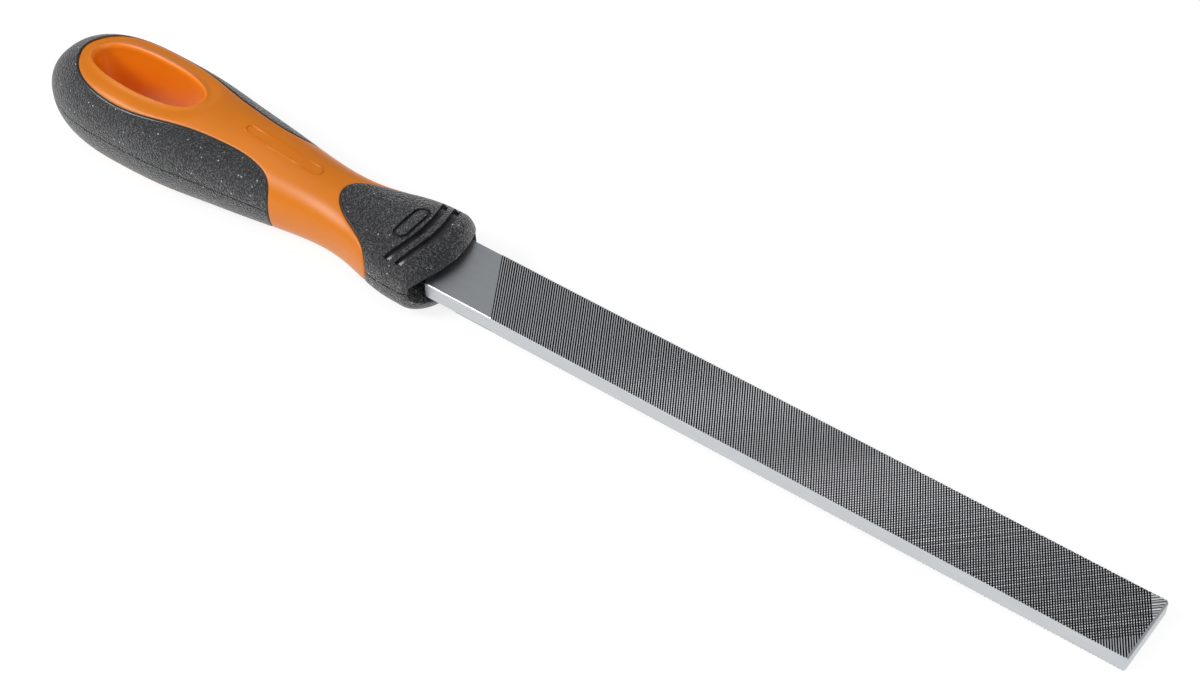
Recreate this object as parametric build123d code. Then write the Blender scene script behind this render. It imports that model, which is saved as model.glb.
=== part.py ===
from build123d import *
import math
import os

# A flat hand file with a two-component handle, in millimetres.
# +X runs along the file towards its tip, +Z is square to the flat of the blade, and the origin is the
# middle of the whole file, on its axis. Top and underside are alike, as are the two sides.

# Whole file
OVERALL_LENGTH = 338.5
TIP_X = OVERALL_LENGTH / 2
BUTT_X = -OVERALL_LENGTH / 2

# Blade: the blank, and the tooth-cut panels that stand slightly proud of it
BLADE_WIDTH = 20.0
BLANK_THICKNESS = 4.8
CUT_HEIGHT = 0.1
BODY_LENGTH = 204.0
CUT_LENGTH = 185.3
UPCUT_ANGLE = 120.5
TIP_CHAMFER = 0.5

# Tang: behind the shoulders, tapering into the handle
TANG_LENGTH = 72.0
TANG_ROOT_WIDTH = 11.0
TANG_END_WIDTH = 4.5
TANG_END_THICKNESS = 3.0
TANG_END_CLEARANCE = 3.0
SHOULDER_RUN = 3.0

# Handle envelope: distance behind the collar's front, half width, half height, squareness of the
# section (2 is an ellipse). Both ends are domes, with a section every so many degrees: the nose before
# this table and the butt after it.
COLLAR_FRONT_X = TIP_X - 199.0
HANDLE_LENGTH = COLLAR_FRONT_X - BUTT_X
SECTIONS = (
    (7.0, 14.9, 10.2, 2.8),
    (13.0, 14.9, 9.8, 2.8),
    (21.0, 13.7, 9.2, 2.7),
    (29.0, 11.8, 9.1, 2.5),
    (37.0, 10.9, 9.6, 2.3),
    (45.0, 11.1, 10.3, 2.25),
    (55.0, 12.2, 11.4, 2.25),
    (66.0, 13.5, 12.8, 2.25),
    (78.0, 14.9, 14.0, 2.25),
    (90.0, 16.3, 15.2, 2.25),
    (101.0, 16.8, 15.9, 2.25),
    (109.0, 16.8, 16.1, 2.25),
)
NOSE_POLE = -1.0
NOSE_WIDTH_POWER = 2.0
NOSE_HEIGHT_POWER = 3.0
NOSE_STEP = 15.0
BUTT_WIDTH_POWER = 2.4
BUTT_HEIGHT_POWER = 2.4
BUTT_STEP = 12.245
END_SQUARENESS = 2.25
SECTION_POINTS = 32

# Two-component layout: the soft grips stand proud of the hard core and are a skin over it
PROUD = 0.4
SKIN = 2.4

# Hanging hole: half length and half width at heights from the mid plane outwards
HOLE_DISTANCE = 106.0
HOLE_RINGS = (
    (0.0, 17.6, 5.7),
    (8.0, 18.3, 6.3),
    (11.5, 19.0, 6.9),
    (13.3, 20.2, 8.1),
    (16.4, 25.0, 12.9),
)
HOLE_SQUARENESS = 2.3

# Mouth in the collar, round the blade
MOUTH_HALF_WIDTH = 14.2
MOUTH_HALF_HEIGHT = 5.0
MOUTH_DEPTH = 10.0
MOUTH_DRAFT = 5.0
MOUTH_SQUARENESS = 3.0
WEB_THICKNESS = 2.0

# Outline of the core between the grips, seen from above: distance behind the collar's front, half width
LOBE_OUTLINE = (
    (53.8, 12.6),
    (54.3, 10.8),
    (56.2, 8.8),
    (60.0, 7.5),
    (66.0, 7.0),
    (73.0, 7.5),
    (80.0, 8.4),
    (88.0, 10.1),
    (97.0, 12.0),
    (105.0, 12.8),
    (112.0, 12.6),
    (118.0, 11.5),
    (123.3, 9.2),
    (127.5, 5.0),
    (129.2, 0.0),
)
COLLAR_OUTLINE = (
    (18.2, 14.9),
    (21.0, 12.3),
    (25.0, 9.9),
    (31.0, 7.1),
    (35.0, 4.1),
    (36.6, 0.0),
)
OUTLINE_MARGIN = 22.0
SPLIT_DISTANCE = 45.0

# Collar details
GROOVE_DISTANCES = (5.5, 9.3)
GROOVE_WIDTH = 1.7
GROOVE_DEPTH = 1.0
GROOVE_HALF_SPAN = 12.6
GROOVE_RADIUS = 26.0
BADGE_DISTANCE = 13.9
BADGE_LENGTH = 13.0
BADGE_BREADTH = 5.0
BADGE_RADIUS = 2.4
BADGE_LINE = 0.7
BADGE_DEPTH = 0.5

# Label frame on the neck of the core
LABEL_DISTANCE = 57.5
LABEL_LENGTH = 26.0
LABEL_BREADTH = 3.6
LABEL_LINE = 0.5
LABEL_RISE = 0.2


def behind(distance):
    """X at a distance behind the collar's front face."""
    return COLLAR_FRONT_X - distance


def superellipse(half_width, half_height, squareness, count=SECTION_POINTS):
    """Points of a rounded-square outline, counter-clockwise from its widest point."""
    points = []
    for index in range(count):
        angle = 2 * math.pi * index / count
        cosine = math.cos(angle)
        sine = math.sin(angle)
        across = half_width * math.copysign(abs(cosine) ** (2 / squareness), cosine)
        up = half_height * math.copysign(abs(sine) ** (2 / squareness), sine)
        points.append((across, up))
    return points


def closed_wire(points):
    return Wire([Edge.make_spline([Vector(*point) for point in points], periodic=True)])


def rounded(half, turn, power):
    """A dome's half size at a turn from 0, its widest ring, to 1, its pole."""
    return half * (1 - turn**power) ** (1 / power)


def dome(section, length, width_power, height_power, step):
    """Sections of a rounded end, each with its distance outwards from the widest one."""
    _, half_width, half_height, squareness = section
    sections = []
    for ring in range(1, math.ceil(90 / step)):
        turn = math.sin(math.radians(ring * step))
        sections.append((
            length * turn,
            rounded(half_width, turn, width_power),
            rounded(half_height, turn, height_power),
            squareness + (END_SQUARENESS - squareness) * turn,
        ))
    return sections


def all_sections():
    """The table of sections with the nose before it and the butt after it."""
    nose_end = SECTIONS[0][0]
    butt_start = SECTIONS[-1][0]
    nose = dome(SECTIONS[0], nose_end - NOSE_POLE, NOSE_WIDTH_POWER, NOSE_HEIGHT_POWER, NOSE_STEP)
    butt_length = HANDLE_LENGTH - butt_start
    butt = dome(SECTIONS[-1], butt_length, BUTT_WIDTH_POWER, BUTT_HEIGHT_POWER, BUTT_STEP)
    front = [(nose_end - out, *rest) for out, *rest in reversed(nose)]
    rear = [(butt_start + out, *rest) for out, *rest in butt]
    return front + list(SECTIONS) + rear


def envelope(inset):
    """The handle's outer shape, shrunk by an inset all round."""
    nose_end = SECTIONS[0][0]
    butt_start = SECTIONS[-1][0]
    wires = []
    for distance, half_width, half_height, squareness in all_sections():
        if half_height <= inset:
            continue
        from_front = inset * max(0.0, (nose_end - distance) / (nose_end - NOSE_POLE))
        from_butt = inset * max(0.0, (distance - butt_start) / (HANDLE_LENGTH - butt_start))
        x = behind(distance + from_front - from_butt)
        ring = superellipse(half_width - inset, half_height - inset, squareness)
        wires.append(closed_wire([(x, y, z) for y, z in ring]))
    front = Vertex(behind(NOSE_POLE + inset), 0, 0)
    pole = Vertex(behind(HANDLE_LENGTH - inset), 0, 0)
    return Solid.make_loft([front] + wires + [pole])


def core_outline():
    """The core's visible area seen from above: the ring lobe, the neck and the full-width waist."""
    lobe = [(behind(distance), half) for distance, half in LOBE_OUTLINE]
    lobe += [(x, -half) for x, half in reversed(lobe[:-1])]
    front = [(behind(distance), half) for distance, half in COLLAR_OUTLINE]
    front += [(x, -half) for x, half in reversed(front[:-1])]
    rear_side = Spline(*lobe)
    front_side = Spline(*front)
    far_side = Polyline(lobe[0], (lobe[0][0], OUTLINE_MARGIN), (front[0][0], OUTLINE_MARGIN), front[0])
    near_side = Polyline(lobe[-1], (lobe[-1][0], -OUTLINE_MARGIN), (front[-1][0], -OUTLINE_MARGIN), front[-1])
    return make_face([rear_side, far_side, front_side, near_side])


def through(face):
    """A plan outline carried right through the handle, top to bottom."""
    return extrude(face, OUTLINE_MARGIN, both=True)


def half_space(low, high):
    """A block across the whole handle between two distances behind the collar's front."""
    length = high - low
    return Pos(behind((low + high) / 2), 0, 0) * Box(length, 2 * OUTLINE_MARGIN, 2 * OUTLINE_MARGIN)


def hanging_hole():
    """The hole through the butt, narrowest at mid height, flaring into both faces."""
    solids = []
    for side in (1, -1):
        wires = []
        for height, half_length, half_width in HOLE_RINGS:
            ring = superellipse(half_length, half_width, HOLE_SQUARENESS)
            wires.append(closed_wire([(behind(HOLE_DISTANCE) + x, y, side * height) for x, y in ring]))
        solids.append(Solid.make_loft(wires))
    return solids[0] + solids[1]


def mouth():
    """The oval recess in the collar's front, tapering inwards, that the blade stands in."""
    narrowing = MOUTH_DEPTH * math.tan(math.radians(MOUTH_DRAFT))
    wires = []
    for distance, shrink in ((-MOUTH_DEPTH, 0.0), (0.0, 0.0), (MOUTH_DEPTH, narrowing)):
        ring = superellipse(MOUTH_HALF_WIDTH - shrink, MOUTH_HALF_HEIGHT - shrink, MOUTH_SQUARENESS)
        wires.append(closed_wire([(behind(distance), y, z) for y, z in ring]))
    return Solid.make_loft(wires, ruled=True)


def arc_band(distance, width, half_span, radius):
    """A band seen from above that bows towards the tip, square across the handle."""
    centre_x = behind(distance) - radius
    ring = Circle(radius + width / 2) - Circle(radius - width / 2)
    window = Pos(radius, 0) * Rectangle(radius, 2 * half_span)
    return through(Pos(centre_x, 0) * (ring & window))


def outline_ring(distance, length, breadth, line, radius):
    """A rounded outline seen from above; its length runs across the handle or along it."""
    outer = RectangleRounded(length, breadth, radius)
    inner = RectangleRounded(length - 2 * line, breadth - 2 * line, radius - line)
    return Pos(behind(distance), 0) * (outer - inner)


def tang():
    """The tapered tang behind the shoulders, and its root inside the blade's body."""
    root_x = TIP_X - BODY_LENGTH
    end_x = root_x - TANG_LENGTH
    width = Polyline(
        (root_x + SHOULDER_RUN, -BLADE_WIDTH / 2),
        (root_x, -TANG_ROOT_WIDTH / 2),
        (end_x, -TANG_END_WIDTH / 2),
        (end_x, TANG_END_WIDTH / 2),
        (root_x, TANG_ROOT_WIDTH / 2),
        (root_x + SHOULDER_RUN, BLADE_WIDTH / 2),
        close=True,
    )
    height = Polyline(
        (root_x + SHOULDER_RUN, -BLANK_THICKNESS / 2),
        (root_x, -BLANK_THICKNESS / 2),
        (end_x, -TANG_END_THICKNESS / 2),
        (end_x, TANG_END_THICKNESS / 2),
        (root_x, BLANK_THICKNESS / 2),
        (root_x + SHOULDER_RUN, BLANK_THICKNESS / 2),
        close=True,
    )
    plan = extrude(make_face(width), BLADE_WIDTH, both=True)
    side = extrude(make_face(Plane.XZ * height), BLADE_WIDTH, both=True)
    return plan & side


def cut_panel():
    """The tooth-cut area of the top face; its rear edge slants along the teeth."""
    slant = BLADE_WIDTH / 2 / math.tan(math.radians(180 - UPCUT_ANGLE))
    rear_x = TIP_X - CUT_LENGTH
    outline = Polyline(
        (TIP_X - TIP_CHAMFER, -BLADE_WIDTH / 2),
        (TIP_X - TIP_CHAMFER, BLADE_WIDTH / 2),
        (rear_x - slant, BLADE_WIDTH / 2),
        (rear_x + slant, -BLADE_WIDTH / 2),
        close=True,
    )
    return extrude(Pos(0, 0, BLANK_THICKNESS / 2) * make_face(outline), CUT_HEIGHT)


def file_blade():
    length = BODY_LENGTH - SHOULDER_RUN
    blank = Pos(TIP_X - length / 2, 0, 0) * Box(length, BLADE_WIDTH, BLANK_THICKNESS)
    tip_edges = blank.edges().filter_by(lambda edge: edge.center().X > TIP_X - TIP_CHAMFER)
    blank = chamfer(tip_edges, TIP_CHAMFER)
    panel = cut_panel()
    return blank + tang() + panel + Rot(X=180) * panel


def tang_socket():
    """The room the tang takes, with a short free end."""
    end_x = TIP_X - BODY_LENGTH - TANG_LENGTH
    free_end = Pos(end_x - TANG_END_CLEARANCE / 2, 0, 0) * Box(
        TANG_END_CLEARANCE, TANG_END_WIDTH, TANG_END_THICKNESS
    )
    return tang() + free_end


def handle_core(inner, hard_shape, window, socket):
    body = inner + (hard_shape & window)
    body -= half_space(-OUTLINE_MARGIN, MOUTH_DEPTH + WEB_THICKNESS)
    frame = outline_ring(LABEL_DISTANCE, LABEL_LENGTH, LABEL_BREADTH, LABEL_LINE, LABEL_BREADTH / 4)
    raised = envelope(PROUD - LABEL_RISE) & through(frame)
    return body + raised - hanging_hole() - socket


def rear_grip(skin):
    return skin & half_space(SPLIT_DISTANCE, HANDLE_LENGTH + OUTLINE_MARGIN)


def front_collar(outer, skin, socket):
    """The front overmoulding: the skin over the core, and the solid nose with its mouth."""
    nose = outer & half_space(-OUTLINE_MARGIN, MOUTH_DEPTH + WEB_THICKNESS)
    body = skin & half_space(MOUTH_DEPTH + WEB_THICKNESS, SPLIT_DISTANCE)
    collar = nose + body - mouth() - socket
    below_grooves = envelope(GROOVE_DEPTH)
    for distance in GROOVE_DISTANCES:
        band = arc_band(distance, GROOVE_WIDTH, GROOVE_HALF_SPAN, GROOVE_RADIUS)
        collar -= band - below_grooves
    badge = outline_ring(BADGE_DISTANCE, BADGE_BREADTH, BADGE_LENGTH, BADGE_LINE, BADGE_RADIUS)
    return collar - (through(badge) - envelope(BADGE_DEPTH))


def main():
    os.makedirs("parts", exist_ok=True)
    outer = envelope(0.0)
    inner = envelope(SKIN)
    window = through(core_outline())
    socket = tang_socket()
    skin = outer - inner - window
    nodes = {
        "file_blade": file_blade(),
        "handle_core": handle_core(inner, envelope(PROUD), window, socket),
        "rear_grip": rear_grip(skin),
        "front_collar": front_collar(outer, skin, socket),
    }
    for name, shape in nodes.items():
        export_step(shape, f"parts/{name}.step")
        print(name, len(shape.solids()), round(shape.volume, 1), shape.bounding_box())


main()
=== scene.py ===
import math

import bpy
import numpy as np
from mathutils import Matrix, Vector


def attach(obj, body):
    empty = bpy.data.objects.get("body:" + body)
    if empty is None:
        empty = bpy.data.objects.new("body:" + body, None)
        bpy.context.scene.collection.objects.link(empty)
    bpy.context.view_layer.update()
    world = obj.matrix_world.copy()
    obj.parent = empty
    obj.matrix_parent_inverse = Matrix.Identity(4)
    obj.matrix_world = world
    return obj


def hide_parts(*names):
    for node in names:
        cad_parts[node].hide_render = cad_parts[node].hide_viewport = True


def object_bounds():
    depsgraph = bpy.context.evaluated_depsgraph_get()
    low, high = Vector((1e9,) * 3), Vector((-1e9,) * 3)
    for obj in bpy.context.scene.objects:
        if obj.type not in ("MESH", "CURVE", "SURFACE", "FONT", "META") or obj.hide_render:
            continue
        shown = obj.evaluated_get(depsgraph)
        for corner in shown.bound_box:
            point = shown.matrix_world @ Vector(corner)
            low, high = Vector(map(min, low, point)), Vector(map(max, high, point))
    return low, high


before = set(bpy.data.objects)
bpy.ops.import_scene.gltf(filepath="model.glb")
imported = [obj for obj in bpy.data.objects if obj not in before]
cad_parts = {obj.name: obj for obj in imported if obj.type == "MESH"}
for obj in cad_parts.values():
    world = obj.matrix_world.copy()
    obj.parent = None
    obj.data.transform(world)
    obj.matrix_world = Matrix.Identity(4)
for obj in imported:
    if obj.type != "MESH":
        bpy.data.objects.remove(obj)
cad_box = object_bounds()

# Looks for a flat hand file with a two-component handle. Geometry is worked out in millimetres, in the
# row frame: +X towards the tip, +Z square to the flat of the blade. add_piece turns it into metres.
MM = 0.001

# Blade
TIP_X = 169.25
BLADE_HALF_WIDTH = 10.0
HEEL_HALF_THICKNESS = 2.4
CREST_HEIGHT = 2.5
SLAB_FLOOR = 2.14
# Below this height the cut face is painted in full shade; its colour lightens from there up to the crests.
CUT_SHADE_HEIGHT = 2.3
BODY_LENGTH = 204.0
TIP_CHAMFER = 0.5
TIP_CHAMFER_SIDE = 0.3
TIP_SET_DOWN = 0.12
EDGE_BEVEL = 0.18
CUT_EDGE_BEVEL = 0.02
SHOULDER_RUN = 3.0
TANG_LENGTH = 72.0
TANG_ROOT_HALF_WIDTH = 5.5
TANG_END_HALF_WIDTH = 2.25
TANG_END_HALF_THICKNESS = 1.5

# Teeth: two sets of parallel cuts. Each is measured from the middle of the tip, square to its own lines.
UPCUT_LINES = 120.5
UPCUT_PITCH = 0.615
UPCUT_START = -159.85
UPCUT_COUNT = 262
UPCUT_PROFILE = ((0.0, 0.3), (0.42, 0.19), (0.53, 0.0), (0.9, 0.0))
OVERCUT_LINES = 44.5
OVERCUT_PITCH = 0.727
OVERCUT_START = -113.4
OVERCUT_COUNT = 158
OVERCUT_PROFILE = ((0.0, 0.26), (0.15, 0.26), (0.36, 0.0), (0.72, 0.0))
OVERCUT_FADE = 100.0
OVERCUT_FIRST_SHARE = 0.03
TOOTH_SCATTER = 0.004
SPACING_SCATTER = 0.018
MAX_SHIFT = 0.027
TOOTH_MARGIN = 1.5
TOOTH_SEED = 7
SLAB_BAYS = 40

# Handle envelope: distance behind the collar's front, half width, half height, squareness of the section
COLLAR_FRONT_X = TIP_X - 199.0
HANDLE_LENGTH = 139.5
SECTIONS = (
    (7.0, 14.9, 10.2, 2.8),
    (13.0, 14.9, 9.8, 2.8),
    (21.0, 13.7, 9.2, 2.7),
    (29.0, 11.8, 9.1, 2.5),
    (37.0, 10.9, 9.6, 2.3),
    (45.0, 11.1, 10.3, 2.25),
    (55.0, 12.2, 11.4, 2.25),
    (66.0, 13.5, 12.8, 2.25),
    (78.0, 14.9, 14.0, 2.25),
    (90.0, 16.3, 15.2, 2.25),
    (101.0, 16.8, 15.9, 2.25),
    (109.0, 16.8, 16.1, 2.25),
)
NOSE_POLE = -1.0
NOSE_WIDTH_POWER = 2.0
NOSE_HEIGHT_POWER = 3.0
BUTT_WIDTH_POWER = 2.4
BUTT_HEIGHT_POWER = 2.4
END_SQUARENESS = 2.25
GRID_STEP = 0.5
RING_SAMPLES = 1441
RING_ROWS = 92
SEAM_ROWS = (0.0, 0.09, 0.18, 0.4)

# Two-component layout
CORE_RECESS = 0.05
CORE_EDGE_DROP = 0.2
SKIN = 2.4
LIP_RADIUS = 0.45
LIP_DROP = 0.3
BORDER_LEVELS = (0.045, 0.135, 0.27, LIP_RADIUS)
CORE_GAP = 0.06
CORE_EDGE_RADIUS = 0.5
CORE_EDGE_LEVELS = (-CORE_EDGE_RADIUS, -0.3, -0.15, -CORE_GAP, 0.0)
SEAM_WIDTH = 0.2
SEAM_DEPTH = 0.3

# Outlines seen from above: distance behind the collar's front, half width
LOBE_OUTLINE = (
    (53.8, 12.6),
    (54.3, 10.8),
    (56.2, 8.8),
    (60.0, 7.5),
    (66.0, 7.0),
    (73.0, 7.5),
    (80.0, 8.4),
    (88.0, 10.1),
    (97.0, 12.0),
    (105.0, 12.8),
    (112.0, 12.6),
    (118.0, 11.5),
    (123.3, 9.2),
    (127.5, 5.0),
    (129.2, 0.0),
)
COLLAR_OUTLINE = (
    (18.2, 14.9),
    (21.0, 12.3),
    (25.0, 9.9),
    (31.0, 7.1),
    (35.0, 4.1),
    (36.6, 0.0),
)
OUTLINE_MARGIN = 22.0
OUTLINE_SAMPLES = 160
ON_LEVEL = 1e-4
ON_RIM = 0.05

# Hanging hole: the crest of its raised lip, the shallow dish round that, and the rings down the wall
HOLE_DISTANCE = 106.0
HOLE_SQUARENESS = 2.3
CREST_HALF_LENGTH = 19.9
CREST_HALF_WIDTH = 8.0
CREST_RAISE = 0.4
CREST_SPREAD = 1.8
CREST_LEVELS = (0.4, 0.8)
DISH_DEPTH = 1.3
DISH_SPREAD = 4.4
FILLET_RINGS = 7
FILLET_IN = 1.3
FILLET_DOWN = 1.9
WALL_RINGS = 10
WAIST_HALF_LENGTH = 17.6
WAIST_HALF_WIDTH = 5.7

# Collar: the mouth round the blade, the web behind it, two bowed grooves and the oval badge outline
MOUTH_HALF_WIDTH = 14.2
MOUTH_HALF_HEIGHT = 5.0
MOUTH_SQUARENESS = 3.0
MOUTH_DEPTH = 10.0
MOUTH_DRAFT = 5.0
MOUTH_LIP = 0.35
WEB_THICKNESS = 2.0
GROOVE_DISTANCES = (5.5, 9.3)
GROOVE_WIDTH = 2.0
GROOVE_DEPTH = 1.1
GROOVE_WALL = 0.16
GROOVE_HALF_SPAN = 12.6
GROOVE_RADIUS = 26.0
BADGE_DISTANCE = 13.9
BADGE_LENGTH = 13.0
BADGE_BREADTH = 5.0
BADGE_LINE = 1.0
BADGE_DEPTH = 0.6
BADGE_WALL = 0.12

# Label frame on the neck
LABEL_DISTANCE = 57.5
LABEL_LENGTH = 26.0
LABEL_BREADTH = 3.6
LABEL_CORNER = 1.7
LABEL_LINE = 0.5
LABEL_RISE = 0.3
LABEL_WALL = 0.08

# Camera and floor, in metres
CAMERA_TARGET = (0.0164, 0.0001, 0.0)
CAMERA_AZIMUTH = 36.15
CAMERA_ELEVATION = 46.28
CAMERA_DISTANCE = 0.6147
CAMERA_LENS = 73.5
CAMERA_SENSOR = 36.0
FLOOR_TILT = 2.05
FLOOR_SIZE = 12.0
FLOOR_CLEARANCE = 0.0002
FLOOR_GREY = (0.25, 0.25, 0.25, 1)
FLOOR_GLOW = 0.8

# Lights: name, place, point aimed at, size in metres, power in watts
LIGHTS = (
    ("key", (-0.75, -0.75, 0.85), (-0.06, 0, 0), (0.5, 0.5), 10),
    ("fill", (0.9, -0.7, 0.9), (0, 0, 0), (0.8, 0.8), 6),
    ("overhead", (0.0, 0.1, 1.4), (0, 0, 0), (1.2, 0.8), 4.5),
)
WORLD_COLOUR = (0.95, 0.97, 1.0, 1)
WORLD_STRENGTH = 0.32

# Colours, each from its darkest to its lightest. The hole's wall is redder and lighter than the rest of
# the core, to stand in for the glow of light inside the plastic.
CORE_COLOURS = ((0.62, 0.168, 0.002), (0.67, 0.182, 0.003))
HOLE_WALL_GLOW_COLOURS = ((0.77, 0.19, 0.003), (0.83, 0.21, 0.006))
RUBBER_COLOURS = ((0.002, 0.002, 0.003), (0.075, 0.078, 0.087))
# The rubber's bright specks are painted glints of light, not a colour of the rubber itself.
GLINT_SPECK_COLOUR = (0.5, 0.51, 0.54, 1)
SMOOTH_RUBBER_COLOURS = ((0.014, 0.014, 0.016), (0.026, 0.026, 0.03))
GROUND_COLOURS = ((0.52, 0.54, 0.56), (0.58, 0.6, 0.62))
# The cut face's darkest colour is painted shade in the cuts; its lightest is the bare metal of the teeth.
CUT_SHADE_COLOURS = ((0.01, 0.011, 0.012), (0.86, 0.87, 0.89))


# ---------------------------------------------------------------- curves

def cubic(knots, values):
    """A smooth curve through values at rising knots, as a function of an array of positions."""
    knots = np.asarray(knots, float)
    values = np.asarray(values, float).reshape(len(knots), -1)
    steps = np.diff(knots)
    chords = np.diff(values, axis=0) / steps[:, None]
    count = len(knots)
    system = np.eye(count)
    right = np.zeros_like(values)
    right[0] = chords[0]
    right[-1] = chords[-1]
    for i in range(1, count - 1):
        system[i, i - 1:i + 2] = steps[i], 2 * (steps[i - 1] + steps[i]), steps[i - 1]
        right[i] = 3 * (steps[i] * chords[i - 1] + steps[i - 1] * chords[i])
    slopes = np.linalg.solve(system, right)

    def at(positions):
        positions = np.asarray(positions, float)
        index = np.clip(np.searchsorted(knots, positions) - 1, 0, count - 2)
        step = steps[index][:, None]
        t = ((positions - knots[index]) / steps[index])[:, None]
        start = values[index]
        end = values[index + 1]
        blend = 3 * t**2 - 2 * t**3
        pull = slopes[index] * (t - 2 * t**2 + t**3) + slopes[index + 1] * (t**3 - t**2)
        return start + (end - start) * blend + step * pull

    return at


def smooth(t):
    """0 to 1 with a level start and end."""
    t = np.clip(t, 0, 1)
    return t * t * (3 - 2 * t)


def rounded(turn, power):
    """A dome's share of its widest size at a turn from 0, its widest ring, to 1, its pole."""
    return (1 - turn**power)**(1 / power)


SECTION_CURVE = cubic([row[0] for row in SECTIONS], [row[1:] for row in SECTIONS])


def section(distances):
    """Half width, half height and squareness of the handle at distances behind the collar's front."""
    nose_end = SECTIONS[0][0]
    butt_start = SECTIONS[-1][0]
    inside = SECTION_CURVE(np.clip(distances, nose_end, butt_start))
    nose = np.clip((nose_end - distances) / (nose_end - NOSE_POLE), 0, 1)
    butt = np.clip((distances - butt_start) / (HANDLE_LENGTH - butt_start), 0, 1)
    width = inside[:, 0] * rounded(nose, NOSE_WIDTH_POWER) * rounded(butt, BUTT_WIDTH_POWER)
    height = inside[:, 1] * rounded(nose, NOSE_HEIGHT_POWER) * rounded(butt, BUTT_HEIGHT_POWER)
    end = np.maximum(nose, butt)
    squareness = inside[:, 2] + (END_SQUARENESS - inside[:, 2]) * end
    return width, height, squareness


def distance_stations(start, end):
    """Stations along the handle, closer together towards the poles of the two domes."""
    nose_end = SECTIONS[0][0]
    butt_start = SECTIONS[-1][0]
    stations = []
    if start < nose_end:
        rings = round(2 * SECTIONS[0][1] / GRID_STEP)
        turns = np.linspace(0, math.pi / 2, rings, endpoint=False)[1:]
        nose = NOSE_POLE + (nose_end - NOSE_POLE) * (1 - np.cos(turns))
        stations += [distance for distance in nose if distance > start]
    low = max(start, nose_end)
    high = min(end, butt_start)
    stations += list(np.linspace(low, high, round((high - low) / GRID_STEP) + 1))
    if end > butt_start:
        length = HANDLE_LENGTH - butt_start
        turns = np.linspace(0, math.pi / 2, round(2 * length / GRID_STEP))[1:-1]
        stations += list(butt_start + length * np.sin(turns))
    return np.array(stations)


# ---------------------------------------------------------------- meshes
# A sheet is (vertices, faces). Each vertex is a point on the handle's envelope and its outward normal.

def half_ring(width, height, squareness):
    """Points over the top of one section, evenly spaced, closer together beside the mid plane."""
    angle = np.linspace(0, math.pi, RING_SAMPLES)
    across = width * np.sign(np.cos(angle)) * np.abs(np.cos(angle))**(2 / squareness)
    up = height * np.abs(np.sin(angle))**(2 / squareness)
    length = np.concatenate(([0], np.cumsum(np.hypot(np.diff(across), np.diff(up)))))
    seam = np.array(SEAM_ROWS) * min(1, length[-1] / 10)
    even = np.linspace(seam[-1], length[-1] - seam[-1], RING_ROWS)
    places = np.concatenate((seam[:-1], even, length[-1] - seam[-2::-1]))
    return np.interp(places, length, across), np.interp(places, length, up)


def envelope_sheet(start, end, front_pole=False, rear_pole=False):
    """The handle's outer surface between two distances, as rings of quads, closed by poles if asked."""
    distances = distance_stations(start, end)
    rings = []
    for distance, width, height, squareness in zip(distances, *section(distances)):
        across, up = half_ring(width, height, squareness)
        ring_y = np.concatenate((across, across[-2:0:-1]))
        ring_z = np.concatenate((up, -up[-2:0:-1]))
        x = np.full(len(ring_y), COLLAR_FRONT_X - distance)
        rings.append(np.stack((x, ring_y, ring_z), axis=1))
    points = np.array(rings)
    along = np.gradient(points, axis=0)
    around = np.roll(points, -1, axis=1) - np.roll(points, 1, axis=1)
    normals = np.cross(around, along)
    normals /= np.linalg.norm(normals, axis=2, keepdims=True)
    outward = (normals * points)[:, :, 1:].sum()
    normals *= math.copysign(1, outward)
    vertices = np.concatenate((points, normals), axis=2).reshape(-1, 6)
    count = points.shape[1]
    faces = []
    for ring in range(len(distances) - 1):
        for row in range(count):
            after = (row + 1) % count
            faces.append([
                ring * count + row,
                ring * count + after,
                (ring + 1) * count + after,
                (ring + 1) * count + row,
            ])
    poles = []
    if front_pole:
        poles.append(((COLLAR_FRONT_X - NOSE_POLE, 0, 0, 1, 0, 0), 0, -1))
    if rear_pole:
        poles.append(((COLLAR_FRONT_X - HANDLE_LENGTH, 0, 0, -1, 0, 0), len(distances) - 1, 1))
    for pole, ring, turn in poles:
        tip = len(vertices)
        vertices = np.vstack((vertices, pole))
        for row in range(count):
            pair = [ring * count + row, ring * count + (row + 1) % count]
            faces.append((pair if turn > 0 else pair[::-1]) + [tip])
    return vertices, faces


def crosses_twice(signs):
    """Whether a level enters a face more than once."""
    shown = [sign for sign in signs if sign]
    return sum(a != b for a, b in zip(shown, shown[1:] + shown[:1])) > 2


def split(vertices, faces, field, level):
    """Cuts the faces that a level of a field crosses along that level, and keeps both sides."""
    values = field(vertices) - level
    side = np.where(np.abs(values) < ON_LEVEL, 0, np.sign(values)).astype(int).tolist()
    made = {}
    added = []
    kept = []

    def crossing(a, b):
        key = (min(a, b), max(a, b))
        if key not in made:
            share = values[a] / (values[a] - values[b])
            made[key] = len(vertices) + len(added)
            added.append(vertices[a] + (vertices[b] - vertices[a]) * share)
        return made[key]

    waiting = faces[::-1]
    while waiting:
        face = waiting.pop()
        signs = [side[i] for i in face]
        if max(signs) <= 0 or min(signs) >= 0:
            kept.append(face)
            continue
        if crosses_twice(signs):
            waiting += [[face[0], face[k], face[k + 1]] for k in range(1, len(face) - 1)]
            continue
        parts = {1: [], -1: []}
        for place, index in enumerate(face):
            after = face[(place + 1) % len(face)]
            sign = side[index]
            for which in (1, -1):
                if sign in (which, 0):
                    parts[which].append(index)
            if sign * side[after] < 0:
                fresh = crossing(index, after)
                parts[1].append(fresh)
                parts[-1].append(fresh)
        kept += [part for part in parts.values() if len(part) > 2]
    if added:
        vertices = np.vstack((vertices, added))
    return vertices, kept


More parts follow.
